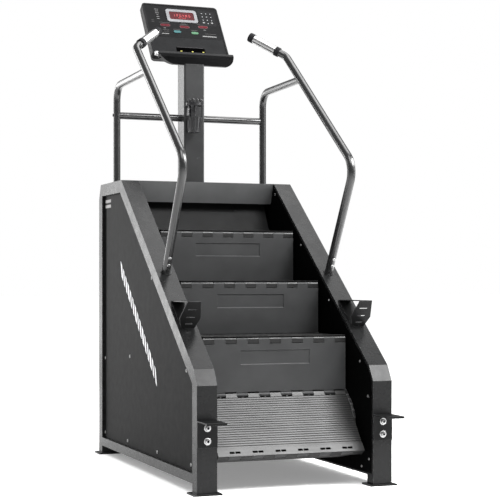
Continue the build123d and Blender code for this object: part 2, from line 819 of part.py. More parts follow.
for sign, word in ((-1, "left"), (1, "right")):
    side_frame(sign, "side_frame_" + word)
    outer_panel(sign, "outer_panel_" + word)
    inner_liner(sign, "inner_liner_" + word)
    handrail(sign, "handrail_" + word)
    rear_support(sign, "rear_support_" + word)
    pulse_grip(sign, "pulse_grip_" + word)
    rail_bracket(sign, "rail_bracket_" + word)
    front_bracket(sign, "front_bracket_" + word)

panel_screws()
foot_plates()
top_crossbeam()
rear_crossmember()
rear_cover()
column()
crossbar()
grip_collars()
socket_bolts()
bottle_cage()
console_housing()
console_fascia()
display_bezel()
display_window()
keypad()
console_tray()
tray_knob()
push_button("start_button")
push_button("cool_down_button")
sprocket_shaft(BOTTOM_C, "bottom_shaft", 22)
sprocket_shaft(TOP_C, "top_shaft", 22)
chain_loops()
shaft_bearings()
brake_unit()
power_inlet()
power_switch()

for k in range(STEPS):
    tread(HEEL[k], NOSE[k], "tread_" + str(k))
    riser(NOSE[k - 1], HEEL[k], "riser_" + str(k), open_end=k in (4, 8))
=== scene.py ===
import math

import bmesh
import bpy
from mathutils import Matrix, Vector


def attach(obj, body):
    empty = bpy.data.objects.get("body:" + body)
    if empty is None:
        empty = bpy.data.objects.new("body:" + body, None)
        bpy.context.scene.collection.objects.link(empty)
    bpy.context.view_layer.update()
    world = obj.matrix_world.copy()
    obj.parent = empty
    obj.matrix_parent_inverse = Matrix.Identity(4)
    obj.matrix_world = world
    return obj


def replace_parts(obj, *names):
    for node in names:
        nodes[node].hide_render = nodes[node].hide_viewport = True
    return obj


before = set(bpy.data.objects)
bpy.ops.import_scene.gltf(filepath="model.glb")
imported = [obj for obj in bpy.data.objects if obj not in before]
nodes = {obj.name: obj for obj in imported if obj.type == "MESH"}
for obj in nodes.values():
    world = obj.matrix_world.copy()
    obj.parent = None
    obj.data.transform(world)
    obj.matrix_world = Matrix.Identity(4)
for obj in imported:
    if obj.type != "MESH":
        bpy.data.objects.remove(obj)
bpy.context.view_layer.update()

# ---------------------------------------------------------------- dimensions, metres
Y0 = 0.6475
HALF_W = 0.375
PANEL_X = HALF_W - 0.012
LINER_X = 0.298
RAIL_X = 0.3375
CHAIN_X = 0.2895
TREAD, RISE = 0.256, 0.203
PITCH = math.hypot(TREAD, RISE)
DOWN = (-TREAD / PITCH, -RISE / PITCH)
OUT = (-RISE / PITCH, TREAD / PITCH)
SPROCKET_R = 0.118
HINGE = (0.216, 0.325)
LEAD = 0.04
RUN = (9 * PITCH - 2 * math.pi * SPROCKET_R) / 2
BOTTOM_C = (
    HINGE[0] + LEAD * DOWN[0] - SPROCKET_R * OUT[0],
    HINGE[1] + LEAD * DOWN[1] - SPROCKET_R * OUT[1],
)
TOP_C = (BOTTOM_C[0] - RUN * DOWN[0], BOTTOM_C[1] - RUN * DOWN[1])
FACE_W, FACE_H = 0.350, 0.30829
FACE_N = Vector((0, -0.81417, 0.58062))
FACE_UP = Vector((0, 0.58062, 0.81417))
FACE_AT = Vector((0, 1.2685 - Y0, 1.8465))
RAIL_R = 0.016
CUP = (-0.014, 1.1036 - Y0)
CUP_BASE, CUP_PLATE, CUP_RING = 1.386, 1.472, 1.5055
PAINT_TINT = 0.02
SMOOTH_ANGLE = math.radians(35)


# ---------------------------------------------------------------- node materials
class Shader:
    """A principled material with small helpers for its procedural inputs."""

    def __init__(self, name, **sockets):
        self.mat = bpy.data.materials.new(name)
        self.mat.use_nodes = True
        self.tree = self.mat.node_tree
        self.bsdf = self.tree.nodes["Principled BSDF"]
        self.coords = self.tree.nodes.new("ShaderNodeTexCoord").outputs["Object"]
        for key, value in sockets.items():
            self.bsdf.inputs[key.replace("_", " ")].default_value = value

    def link(self, a, b):
        self.tree.links.new(a, b)

    def noise(self, scale, detail=3.0, rough=0.55, stretch=(1, 1, 1)):
        mapping = self.tree.nodes.new("ShaderNodeMapping")
        mapping.inputs["Scale"].default_value = stretch
        node = self.tree.nodes.new("ShaderNodeTexNoise")
        node.inputs["Scale"].default_value = scale
        node.inputs["Detail"].default_value = detail
        node.inputs["Roughness"].default_value = rough
        self.link(self.coords, mapping.inputs["Vector"])
        self.link(mapping.outputs["Vector"], node.inputs["Vector"])
        return node.outputs["Fac"]

    def cells(self, scale):
        node = self.tree.nodes.new("ShaderNodeTexVoronoi")
        node.inputs["Scale"].default_value = scale
        self.link(self.coords, node.inputs["Vector"])
        return node.outputs["Distance"]

    def ramp(self, fac, low, high):
        node = self.tree.nodes.new("ShaderNodeValToRGB")
        for element, position, colour in zip(node.color_ramp.elements, (0.35, 0.65), (low, high)):
            element.position = position
            element.color = (*colour, 1)
        self.link(fac, node.inputs["Fac"])
        return node.outputs["Color"]

    def fit(self, value, start, end, low=0.0, high=1.0):
        """Map start..end on to low..high, clamped."""
        node = self.tree.nodes.new("ShaderNodeMapRange")
        for key, number in (("From Min", start), ("From Max", end), ("To Min", low), ("To Max", high)):
            node.inputs[key].default_value = number
        self.link(value, node.inputs["Value"])
        return node.outputs["Result"]

    def spread(self, noise, low, high):
        """A noise's usual range mapped on to low..high."""
        return self.fit(noise, 0.3, 0.7, low, high)

    def mix(self, fac, a, b):
        """Colour a where fac is 0 and b where it is 1; each is a socket or a plain colour."""
        node = self.tree.nodes.new("ShaderNodeMix")
        node.data_type = "RGBA"
        self.link(fac, node.inputs[0])
        for value, socket in ((a, node.inputs[6]), (b, node.inputs[7])):
            if isinstance(value, bpy.types.NodeSocket):
                self.link(value, socket)
            else:
                socket.default_value = (*value, 1)
        return node.outputs[2]

    def edges(self):
        """About 1 on sharp outer edges and 0 on the flats, for worn edges."""
        bevel = self.tree.nodes.new("ShaderNodeBevel")
        bevel.samples = 4
        bevel.inputs["Radius"].default_value = 0.0012
        geometry = self.tree.nodes.new("ShaderNodeNewGeometry")
        dot = self.tree.nodes.new("ShaderNodeVectorMath")
        dot.operation = "DOT_PRODUCT"
        self.link(bevel.outputs["Normal"], dot.inputs[0])
        self.link(geometry.outputs["Normal"], dot.inputs[1])
        return self.fit(dot.outputs["Value"], 0.985, 0.9)

    def bump(self, height, strength, distance, under=None):
        node = self.tree.nodes.new("ShaderNodeBump")
        node.inputs["Strength"].default_value = strength
        node.inputs["Distance"].default_value = distance
        self.link(height, node.inputs["Height"])
        if under is not None:
            self.link(under, node.inputs["Normal"])
        self.link(node.outputs["Normal"], self.bsdf.inputs["Normal"])
        return node.outputs["Normal"]

    def colour(self, socket):
        self.link(socket, self.bsdf.inputs["Base Color"])
        return self

    def roughness(self, socket):
        self.link(socket, self.bsdf.inputs["Roughness"])
        return self


def grey(value, tint=0.0):
    """A grey, a little bluer for a larger tint."""
    return (value * (1 - tint), value, value * (1 + tint))


def powder_coat(name, level, rough, grain=900, wear=None, coat=0.0, shine=0.2):
    """Fine orange-peel paint, a little lighter along worn edges."""
    s = Shader(name, Metallic=0.0, Coat_Weight=coat, Coat_Roughness=0.25, Specular_IOR_Level=shine)
    base = s.ramp(s.noise(9, 4), grey(level * 0.88, PAINT_TINT), grey(level * 1.14, PAINT_TINT))
    if wear is not None:
        mottle = s.spread(s.noise(60, 3), 0.0, 1.0)
        mask = s.tree.nodes.new("ShaderNodeMath")
        mask.operation = "MULTIPLY"
        s.link(s.edges(), mask.inputs[0])
        s.link(mottle, mask.inputs[1])
        base = s.mix(mask.outputs[0], base, grey(wear, PAINT_TINT))
    s.colour(base).roughness(s.spread(s.noise(30, 4), *rough))
    waves = s.bump(s.noise(14, 2), 0.03, 0.002)
    s.bump(s.noise(grain, 2), 0.07, 0.0003, waves)
    return s.mat


def brushed(name, level, stretch, rough, metallic=0.9, scratch=0.12, dirt=0.8):
    """Metal with fine lines along one direction and cloudy staining."""
    s = Shader(name, Metallic=metallic)
    lines = s.noise(1, 5, 0.7, stretch)
    clouds = s.ramp(s.noise(11, 5), grey(level * dirt), grey(level * 1.05))
    s.colour(s.mix(s.spread(lines, 0.0, 0.35), clouds, grey(level * 1.15)))
    s.roughness(s.spread(lines, *rough))
    s.bump(lines, scratch, 0.0003)
    return s.mat


def ribbed_tread(name, level, front):
    """Brushed tread metal with painted shade: darker between the ribs, and near black on its upright edges.
    """
    s = Shader(name, Metallic=0.55)
    lines = s.noise(1, 5, 0.7, (3, 420, 420))
    clouds = s.ramp(s.noise(11, 5), grey(level * 0.8), grey(level * 1.05))
    top = s.mix(s.spread(lines, 0.0, 0.35), clouds, grey(level * 1.15))
    # painted shade: ambient occlusion darkens the colour in the grooves between the ribs
    groove_shade_ao = s.tree.nodes.new("ShaderNodeAmbientOcclusion")
    groove_shade_ao.samples = 6
    groove_shade_ao.inputs["Distance"].default_value = 0.006
    top = s.mix(s.fit(groove_shade_ao.outputs["AO"], 0.55, 0.92), grey(level * 0.12), top)
    # painted shade: faces that do not point up get the near-black front colour in place of the lit top
    # colour
    split = s.tree.nodes.new("ShaderNodeSeparateXYZ")
    s.link(s.coords.node.outputs["Normal"], split.inputs[0])
    s.colour(s.mix(s.fit(split.outputs["Z"], 0.15, 0.4), grey(front), top))
    s.roughness(s.spread(lines, 0.36, 0.5))
    s.bump(lines, 0.12, 0.0003)
    return s.mat


def polished(name, level, rough, smear):
    """Smooth plated metal with faint smears."""
    s = Shader(name, Metallic=1.0)
    s.colour(s.ramp(s.noise(smear, 4), grey(level * 0.9), grey(level)))
    s.roughness(s.spread(s.noise(smear * 6, 5), *rough))
    s.bump(s.noise(500, 2), 0.02, 0.0002)
    return s.mat


def moulded(name, colour, rough, grain=1400, strength=0.22, shine=0.5):
    """Plastic or print with a fine spark-eroded texture."""
    s = Shader(name, Specular_IOR_Level=shine)
    low = tuple(c * 0.88 for c in colour)
    high = tuple(min(1, c * 1.1) for c in colour)
    s.colour(s.ramp(s.noise(16, 4), low, high)).roughness(s.spread(s.noise(45, 4), *rough))
    s.bump(s.cells(grain), strength, 0.0003)
    return s.mat


def lit(name, colour, strength):
    """A faintly uneven glow."""
    s = Shader(name, Roughness=0.4, Emission_Strength=strength)
    shade = s.ramp(s.noise(300, 2), tuple(c * 0.8 for c in colour), colour)
    s.colour(shade)
    s.link(shade, s.bsdf.inputs["Emission Color"])
    return s.mat


PAINTS = {
    "frame": powder_coat("frame_powder_coat", 0.010, (0.24, 0.31), wear=0.16, shine=0.17),
    "bracket": powder_coat("bracket_powder_coat", 0.006, (0.3, 0.42), wear=0.2, shine=0.12),
    "panel": powder_coat("panel_powder_coat", 0.003, (0.53, 0.58), 1300, shine=0.055),
    "liner": powder_coat("liner_powder_coat", 0.0015, (0.5, 0.62), shine=0.01),
    "riser": powder_coat("riser_powder_coat", 0.027, (0.4, 0.52), wear=0.12, shine=0.27),
    # painted shade: a darker copy of the riser coat for riser_0, which lies in shadow under the fascia
    "shaded": powder_coat("shaded_riser_coat", 0.008, (0.45, 0.55), shine=0.08),
    "beam": powder_coat("beam_powder_coat", 0.055, (0.4, 0.52), wear=0.16, shine=0.55),
    "rail": powder_coat("rail_gloss_coat", 0.012, (0.16, 0.26), 700, coat=0.7, shine=0.3),
    "column": powder_coat("column_powder_coat", 0.024, (0.22, 0.28), coat=0.4, shine=0.3),
}
METALS = {
    "tread": ribbed_tread("tread_aluminium", 0.05, 0.014),
    "steel": brushed("bright_steel", 0.6, (260, 40, 40), (0.22, 0.38)),
    "chrome": brushed("pulse_plate_steel", 0.42, (160, 30, 30), (0.2, 0.32), 0.9, 0.04, 0.92),
    "zinc": polished("zinc_screw", 0.42, (0.2, 0.36), 40),
    "dull_zinc": polished("dull_zinc_screw", 0.3, (0.3, 0.45), 40),
    "chain": brushed("chain_steel", 0.18, (90, 90, 90), (0.35, 0.55), 0.85, 0.3, 0.5),
}
PLASTICS = {
    "rubber": moulded("collar_rubber", (0.005, 0.005, 0.006), (0.6, 0.8), 900, 0.35, 0.2),
    "plastic": moulded("console_plastic", (0.003, 0.003, 0.0034), (0.34, 0.46), shine=0.1),
    "cage": moulded("cage_plastic", (0.009, 0.009, 0.01), (0.25, 0.4), 700),
    "fascia": moulded("fascia_film", (0.013, 0.0132, 0.0138), (0.5, 0.6), 2200, 0.1, 0.03),
    "film": moulded("printed_film", (0.009, 0.0092, 0.0095), (0.48, 0.58), 2200, 0.1, 0.03),
    "band": moulded("band_grey", (0.03, 0.03, 0.031), (0.4, 0.55), 1800, 0.1, 0.1),
    "bezel": moulded("bezel_silver", (0.17, 0.173, 0.18), (0.34, 0.46), 1800, 0.1, 0.15),
    "window": moulded("display_window_tint", (0.05, 0.006, 0.008), (0.3, 0.4), 400, 0.02, 0.08),
    "dark": moulded("socket_dark", (0.001, 0.001, 0.001), (0.6, 0.8), 800, 0.1, 0.0),
    "cast": moulded("cast_housing", (0.07, 0.07, 0.075), (0.5, 0.7), 260, 0.5),
}
PRINTS = {
    "white": moulded("print_white", (0.16, 0.16, 0.16), (0.45, 0.6), 1500, 0.06, 0.1),
    "faint": moulded("print_faint", (0.06, 0.058, 0.058), (0.45, 0.6), 1500, 0.06, 0.1),
    "label": moulded("label_print", (0.25, 0.24, 0.24), (0.45, 0.6), 1500, 0.06),
    "panel_white": moulded("panel_print", (0.8, 0.8, 0.82), (0.45, 0.6), 1500, 0.06),
    "red": moulded("print_red", (0.07, 0.006, 0.01), (0.4, 0.55), 1500, 0.06, 0.05),
    "dusky": moulded("print_dusky_pink", (0.08, 0.04, 0.044), (0.4, 0.55), 1500, 0.06, 0.05),
    "teal": moulded("button_teal", (0.022, 0.085, 0.09), (0.35, 0.5), 1500, 0.1, 0.2),
    "pale_green": moulded("button_pale_green", (0.05, 0.13, 0.07), (0.35, 0.5), 1500, 0.1, 0.2),
    "yellow": moulded("print_yellow", (0.42, 0.38, 0.1), (0.4, 0.55), 1500, 0.06, 0.1),
    "led": lit("led_red", (0.4, 0.03, 0.035), 0.3),
}
MATS = {**PAINTS, **METALS, **PLASTICS, **PRINTS}


NODE_KEYS = {
    "riser_0": "shaded", "tread_": "tread", "riser_": "riser", "handrail": "rail", "rear_support": "rail",
    "crossbar": "rail", "outer_panel": "panel", "inner_liner": "liner", "rear_cover": "panel",
    "pulse_grip": "chrome", "tray_knob": "chrome", "grip_collars": "rubber", "column": "column",
    "rail_bracket": "bracket", "front_bracket": "bracket", "foot_plates": "bracket",
    "rear_crossmember": "bracket", "side_frame": "frame", "top_crossbeam": "beam",
    "panel_screws": "zinc", "socket_bolts": "zinc", "bottom_shaft": "steel", "top_shaft": "steel",
    "chain_loops": "chain", "shaft_bearings": "cast", "brake_unit": "cast", "bottle_cage": "cage",
    "console_housing": "plastic", "console_tray": "plastic", "power_inlet": "plastic",
    "power_switch": "plastic", "console_fascia": "fascia", "keypad": "fascia",
    "display_window": "window", "display_bezel": "bezel", "start_button": "teal",
    "cool_down_button": "pale_green",
}


def node_key(name):
    """The material of a node: the first entry that its name starts with."""
    return next(key for start, key in NODE_KEYS.items() if name.startswith(start))


BEVELS = {
    "side_frame": 0.003, "column": 0.002, "front_bracket": 0.0009, "rail_bracket": 0.0008,
    "top_crossbeam": 0.0015, "foot_plates": 0.0012, "tread_": 0.0006, "riser_": 0.0005,
    "rear_cover": 0.0006, "display_bezel": 0.0008, "rear_crossmember": 0.002,
    "start_button": 0.0015, "cool_down_button": 0.0015, "tray_knob": 0.0006,
    "bottle_cage": 0.0005, "console_tray": 0.0012,
}

for name, obj in nodes.items():
    obj.data.materials.clear()
    obj.data.materials.append(MATS[node_key(name)])
    for start, width in BEVELS.items():
        if name.startswith(start):
            bevel = obj.modifiers.new("edge", "BEVEL")
            bevel.width = width
            bevel.segments = 2
            bevel.limit_method = "ANGLE"
            bevel.angle_limit = math.radians(40)


# ---------------------------------------------------------------- mesh helpers
def piece(name, bm, key, body):
    """A smooth-shaded object made of bm, riding on a body."""
    mesh = bpy.data.meshes.new(name)
    bmesh.ops.recalc_face_normals(bm, faces=bm.faces)
    bm.to_mesh(mesh)
    bm.free()
    obj = bpy.data.objects.new(name, mesh)
    bpy.context.scene.collection.objects.link(obj)
    mesh.materials.append(MATS[key])
    for polygon in mesh.polygons:
        polygon.use_smooth = True
    mesh.set_sharp_from_angle(angle=SMOOTH_ANGLE)
    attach(obj, body)
    return obj


def basis(at, x_dir, up):
    """Matrix whose z is up and whose x is x_dir."""
    z = Vector(up).normalized()
    x = Vector(x_dir)
    x = (x - z * x.dot(z)).normalized()
    y = z.cross(x)
    m = Matrix((x, y, z)).transposed().to_4x4()
    m.translation = Vector(at)
    return m


def slab(bm, m, outline, thick, taper=0.0):
    """A flat shape with thickness, its top edge drawn in by taper."""
    n = len(outline)
    cx = sum(p[0] for p in outline) / n
    cy = sum(p[1] for p in outline) / n
    rings = [(0.0, 0.0), (thick - min(taper, thick * 0.8), 0.0), (thick, taper)]
    loops = []
    for height, pull in rings:
        loop = []
        for x, y in outline:
            d = math.hypot(x - cx, y - cy) or 1.0
            k = max(0.0, 1 - pull / d)
            loop.append(bm.verts.new(m @ Vector((cx + (x - cx) * k, cy + (y - cy) * k, height))))
        loops.append(loop)
    bm.faces.new(loops[0])
    bm.faces.new(loops[-1])
    bridge(bm, loops)


def rounded(w, h, r, cx=0.0, cy=0.0, steps=5):
    """Outline of a rectangle with round corners."""
    points = []
    for qx, qy, start in ((1, 1, 0), (-1, 1, 90), (-1, -1, 180), (1, -1, 270)):
        for i in range(steps + 1):
            a = math.radians(start + 90 * i / steps)
            points.append((cx + qx * (w / 2 - r) + r * math.cos(a), cy + qy * (h / 2 - r) + r * math.sin(a)))
    return points


def bridge(bm, rings):
    """Quads between rings of equally many vertices."""
    n = len(rings[0])
    for a, b in zip(rings, rings[1:]):
        for i in range(n):
            bm.faces.new((a[i], a[(i + 1) % n], b[(i + 1) % n], b[i]))


def lathe(bm, m, profile, segments=32):
    """Profile of (radius, height) turned about local z; ends with radius 0 close."""
    rings = []
    for r, z in profile:
        if r <= 0:
            rings.append([bm.verts.new(m @ Vector((0, 0, z)))])
        else:
            rings.append([
                bm.verts.new(m @ Vector((r * math.cos(2 * math.pi * i / segments),
                                         r * math.sin(2 * math.pi * i / segments), z)))
                for i in range(segments)
            ])
    for a, b in zip(rings, rings[1:]):
        for i in range(segments):
            j = (i + 1) % segments
            if len(a) == 1:
                bm.faces.new((a[0], b[i], b[j]))
            elif len(b) == 1:
                bm.faces.new((a[i], a[j], b[0]))
            else:
                bm.faces.new((a[i], a[j], b[j], b[i]))


def socket_head(bm, m, r, h, hex_r, depth, washer=None):
    """A cap screw head with a hexagon socket, on an optional washer."""
    base = 0.0
    if washer:
        radius, thick = washer
        lathe(bm, m, [(0, 0), (radius - 0.0004, 0), (radius, 0.0004), (radius, thick - 0.0004),
                      (radius - 0.0005, thick), (0, thick)])
        base = thick + 0.00005
    top = base + h
    n = 24
    hexagon = []
    for i in range(n):
        a = 2 * math.pi * i / n
        k = math.cos(math.pi / 6) / math.cos((a % (math.pi / 3)) - math.pi / 6)
        hexagon.append((hex_r * k * math.cos(a), hex_r * k * math.sin(a)))
    circle = [(math.cos(2 * math.pi * i / n), math.sin(2 * math.pi * i / n)) for i in range(n)]
    loops = [
        [(r * 0.98 * x, r * 0.98 * y, base) for x, y in circle],
        [(r * x, r * y, base + h * 0.1) for x, y in circle],
        [(r * x, r * y, top - r * 0.18) for x, y in circle],
        [(r * 0.93 * x, r * 0.93 * y, top - r * 0.05) for x, y in circle],
        [(r * 0.82 * x, r * 0.82 * y, top) for x, y in circle],
        [(x * 1.06, y * 1.06, top) for x, y in hexagon],
        [(x, y, top - depth * 0.12) for x, y in hexagon],
        [(x, y, top - depth) for x, y in hexagon],
    ]
    rings = [[bm.verts.new(m @ Vector(p)) for p in loop] for loop in loops]
    bm.faces.new(rings[0])
    bm.faces.new(rings[-1])
    bridge(bm, rings)


def face_matrix(u, v, w):
    """A point of the console's face: u from left, v from top, w out of it in metres."""
    at = FACE_AT + Vector((1, 0, 0)) * ((u - 0.5) * FACE_W) + FACE_UP * ((0.5 - v) * FACE_H) + FACE_N * w
    return basis(at, (1, 0, 0), FACE_N)


# ---------------------------------------------------------------- camera, light, floor
camera_data = bpy.data.cameras.new("camera")
camera_data.sensor_width = 36
camera_data.lens = 101.4
camera_data.shift_x = 0.0016
camera_data.shift_y = 0.0614
camera_data.clip_end = 200
camera = bpy.data.objects.new("camera", camera_data)
camera.location = (-1.93525, -4.6174 - Y0, 0.7454)
camera.rotation_euler = (math.radians(90), 0, math.radians(-20.8))
bpy.context.scene.collection.objects.link(camera)
bpy.context.scene.camera = camera


def aim(obj, location, target):
    """Put a light at a place and turn it towards its target."""
    obj.location = location
    obj.rotation_mode = "QUATERNION"
    obj.rotation_quaternion = (Vector(target) - Vector(location)).to_track_quat("-Z", "Y")
    bpy.context.scene.collection.objects.link(obj)


def area_light(name, location, target, size, power):
    data = bpy.data.lights.new(name, "AREA")
    data.shape = "RECTANGLE"
    data.size, data.size_y = size
    data.energy = power
    obj = bpy.data.objects.new(name, data)
    obj.visible_camera = False
    aim(obj, location, target)


area_light("top_box", (2.0, -2.5, 3.9), (0.1, -0.2, 0.6), (2.0, 2.0), 300)
area_light("slope_top", (1.1, 0.8, 4.4), (0, 0.1, 0.8), (2.0, 2.0), 50)
area_light("left_strip", (-3.6, 1.1, 1.5), (0, 0.1, 1.1), (0.9, 3.2), 30)
area_light("rear_left_strip", (-1.9, 4.0, 1.7), (0, 0.3, 1.1), (1.2, 3.0), 52)
area_light("right_fill", (3.6, -1.6, 1.8), (0, 0, 0.9), (1.2, 2.4), 40)
area_light("right_high", (3.2, -0.6, 3.0), (0, 0, 0.8), (1.4, 1.4), 126)

sun_data = bpy.data.lights.new("overhead", "SUN")
sun_data.energy = 2.2
sun_data.angle = math.radians(40)
sun = bpy.data.objects.new("overhead", sun_data)
aim(sun, (-0.25, -0.5, 1.0), (0, 0, 0))

world = bpy.data.worlds.new("studio")
bpy.context.scene.world = world
world.use_nodes = True
world_tree = world.node_tree
dim = world_tree.nodes["Background"]
dim.inputs["Color"].default_value = (1, 1, 1, 1)
dim.inputs["Strength"].default_value = 0.29
white = world_tree.nodes.new("ShaderNodeBackground")
white.inputs["Color"].default_value = (1, 1, 1, 1)
white.inputs["Strength"].default_value = 1.0
choose = world_tree.nodes.new("ShaderNodeMixShader")
rays = world_tree.nodes.new("ShaderNodeLightPath")
world_tree.links.new(rays.outputs["Is Camera Ray"], choose.inputs[0])
world_tree.links.new(dim.outputs[0], choose.inputs[1])
world_tree.links.new(white.outputs[0], choose.inputs[2])
world_tree.links.new(choose.outputs[0], world_tree.nodes["World Output"].inputs["Surface"])
bpy.context.scene.view_settings.view_transform = "Standard"

floor_bm = bmesh.new()
corners = [floor_bm.verts.new((x, y, 0)) for x, y in ((-40, -40), (40, -40), (40, 60), (-40, 60))]
floor_bm.faces.new(corners)
floor_mesh = bpy.data.meshes.new("floor")
floor_bm.to_mesh(floor_mesh)
floor_bm.free()
floor = bpy.data.objects.new("floor", floor_mesh)
bpy.context.scene.collection.objects.link(floor)
floor_shader = Shader("floor_paper", Roughness=0.8, Specular_IOR_Level=0.1, Emission_Strength=0.26)
floor_shader.colour(floor_shader.ramp(floor_shader.noise(3, 3), (0.93, 0.93, 0.93), (0.95, 0.95, 0.95)))
floor_shader.bsdf.inputs["Emission Color"].default_value = (1, 1, 1, 1)
floor_mesh.materials.append(floor_shader.mat)


# ---------------------------------------------------------------- console face
def slabs(name, key, shapes):
    """shapes: (u, v, w, outline, thickness, taper), on the console's face."""
    bm = bmesh.new()
    for u, v, w, outline, thick, taper in shapes:
        slab(bm, face_matrix(u, v, w), outline, thick, taper)
    piece(name, bm, key, "frame")


SEGMENTS = {
    "a": (0, 1, 0), "b": (0.5, 0.5, 1), "c": (0.5, -0.5, 1), "d": (0, -1, 0),
    "e": (-0.5, -0.5, 1), "f": (-0.5, 0.5, 1), "g": (0, 0, 0),
}
DIGITS = {
    "0": "abcdef", "1": "bc", "2": "abged", "3": "abgcd", "4": "fgbc", "6": "afgedc", "8": "abcdefg",
}


def digit_shapes(text, u, v, height, spacing):
    """Seven-segment digits centred on a point of the face."""
    shapes = []
    pitch = height * spacing
    for i, char in enumerate(text):
        cx = (i - (len(text) - 1) / 2) * pitch
        for key in DIGITS[char]:
            x, y, upright = SEGMENTS[key]
            long, wide = height * 0.45, height * 0.13
            w, h = (wide, long) if upright else (long, wide)
            outline = rounded(w, h, wide * 0.45, cx + x * height * 0.5, y * height * 0.5, 2)
            shapes.append((u, v, -0.00045, outline, 0.0002, 0))
    return shapes


led_shapes = []
for row_v, text, height in ((0.212, "120486", 0.0125), (0.258, "20336", 0.006)):
    led_shapes += digit_shapes(text, 0.5, row_v, height, 1.15)
slabs("display_digits", "led", led_shapes)

slabs("face_film", "film", [(0.5, 0.335, -0.002, rounded(0.326, 0.197, 0.006), 0.0002, 0)])

white_bars = [
    (0.215, 0.586, -0.0017, rounded(0.043, 0.0045, 0.0012), 0.0002, 0),
    (0.808, 0.596, -0.0017, rounded(0.065, 0.006, 0.0014), 0.0002, 0),
    (0.235, 0.475, -0.0017, rounded(0.011, 0.0022, 0.0008), 0.0002, 0),
    (0.765, 0.468, -0.0017, rounded(0.011, 0.0022, 0.0008), 0.0002, 0),
]
for i, width in enumerate((0.016, 0.012, 0.017, 0.010, 0.015, 0.012)):
    white_bars.append((0.18, 0.105 + 0.038 * i, -0.0017, rounded(width, 0.0026, 0.0009), 0.0002, 0))
slabs("face_print_bars", "white", white_bars)

faint_bars = []
for u, v, width in (
    (0.25, 0.365, 0.05), (0.5, 0.385, 0.04), (0.75, 0.355, 0.05), (0.5, 0.372, 0.026),
    (0.25, 0.51, 0.03), (0.25, 0.54, 0.024), (0.83, 0.545, 0.05), (0.62, 0.49, 0.03),
    (0.39, 0.49, 0.03), (0.1, 0.33, 0.012), (0.1, 0.36, 0.012),
):
    faint_bars.append((u, v, -0.0017, rounded(width, 0.002, 0.0008), 0.00015, 0))
slabs("face_faint_bars", "faint", faint_bars)
slabs("slot_band", "band", [(0.51, 0.845, -0.002, rounded(0.12, 0.007, 0.002), 0.0003, 0)])

borders, centres = [], []
for u, v in ((0.252, 0.416), (0.504, 0.432), (0.752, 0.411)):
    borders.append((u, v, -0.0017, rounded(0.046, 0.0155, 0.0077), 0.0003, 0))
    centres.append((u, v, -0.0014, rounded(0.040, 0.0105, 0.0052), 0.0002, 0))
slabs("face_oval_borders", "dusky", borders)
slabs("face_oval_centres", "red", centres)

slabs("keypad_bright_keys", "white", [
    (u, 0.32, -0.0008, rounded(0.011, 0.009, 0.0044), 0.0004, 0.0002) for u in (0.779, 0.889)
])
slabs("keypad_key_caps", "bezel", [
    (0.835 + dx * 0.0571, 0.235 + dy * 0.065, -0.0008, rounded(0.0056, 0.0056, 0.0027), 0.0003, 0)
    for dx in (-1, 0, 1) for dy in (-1.5, -0.5, 0.5, 1.5) if dx == 0 or dy < 1
])
slabs("lower_slot_panel", "dark", [(0.51, 0.888, -0.0019, rounded(0.131, 0.027, 0.0038), 0.0006, 0)])
slabs("lower_slot_lamps", "yellow", [
    (u, 0.92, -0.0012, rounded(0.009, 0.0045, 0.0022), 0.0008, 0.0004) for u in (0.38, 0.527, 0.667)
])

# ---------------------------------------------------------------- side graphics
STRIPES = 15
STRIPE_RISE = Vector((0.25, 0.97)) * 0.034
for sign, word in ((-1, "left"), (1, "right")):
    m = basis((sign * PANEL_X, 0, 0), (0, 1, 0), (sign, 0, 0))
    flip = (m.to_3x3() @ Vector((0, 1, 0))).z
    start, end = Vector((1.0, 0.785)), Vector((0.525, 0.383))
    along = (end - start).normalized()
    bm = bmesh.new()
    for i in range(STRIPES):
        mid = start.lerp(end, i / (STRIPES - 1))
        half = 0.010 if i % 3 else 0.014
        corners = [
            mid + along * (sx * half) + STRIPE_RISE * sy
            for sx, sy in ((-1, -1), (1, -1), (1, 1), (-1, 1))
        ]
        slab(bm, m, [(p.x - Y0, p.y * flip) for p in corners], 0.0003)
    piece("side_stripes_" + word, bm, "panel_white", "frame")
    bm = bmesh.new()
    for z in (1.084, 1.062):
        outline = [(y - Y0, h * flip) for y, h in rounded(0.085, 0.013, 0.002, 1.215, z)]
        slab(bm, m, outline, 0.0003)
    piece("side_label_" + word, bm, "label", "frame")

# ---------------------------------------------------------------- screws and bolts
OUTER_SCREWS = (
    (0.876, 0.440), (0.148, 0.425), (1.259, 0.414), (0.573, 0.755),
    (0.909, 0.095), (0.501, 0.095), (0.096, 0.096), (1.259, 0.095),
)
INNER_SCREWS = (
    (0.039, 0.324), (0.031, 0.095), (0.092, 0.062), (0.107, 0.448),
    (0.388, 0.670), (0.668, 0.890), (0.952, 1.112),
)
bm = bmesh.new()
for sign in (-1, 1):
    for y, z in OUTER_SCREWS:
        m = basis((sign * PANEL_X, y - Y0, z), (0, 1, 0), (sign, 0, 0))
        socket_head(bm, m, 0.0068, 0.0028, 0.003, 0.0018)
    for y, z in INNER_SCREWS:
        m = basis((sign * LINER_X, y - Y0, z), (0, 1, 0), (-sign, 0, 0))
        socket_head(bm, m, 0.0053, 0.0023, 0.0024, 0.0015)
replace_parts(piece("panel_screw_heads", bm, "dull_zinc", "frame"), "panel_screws")

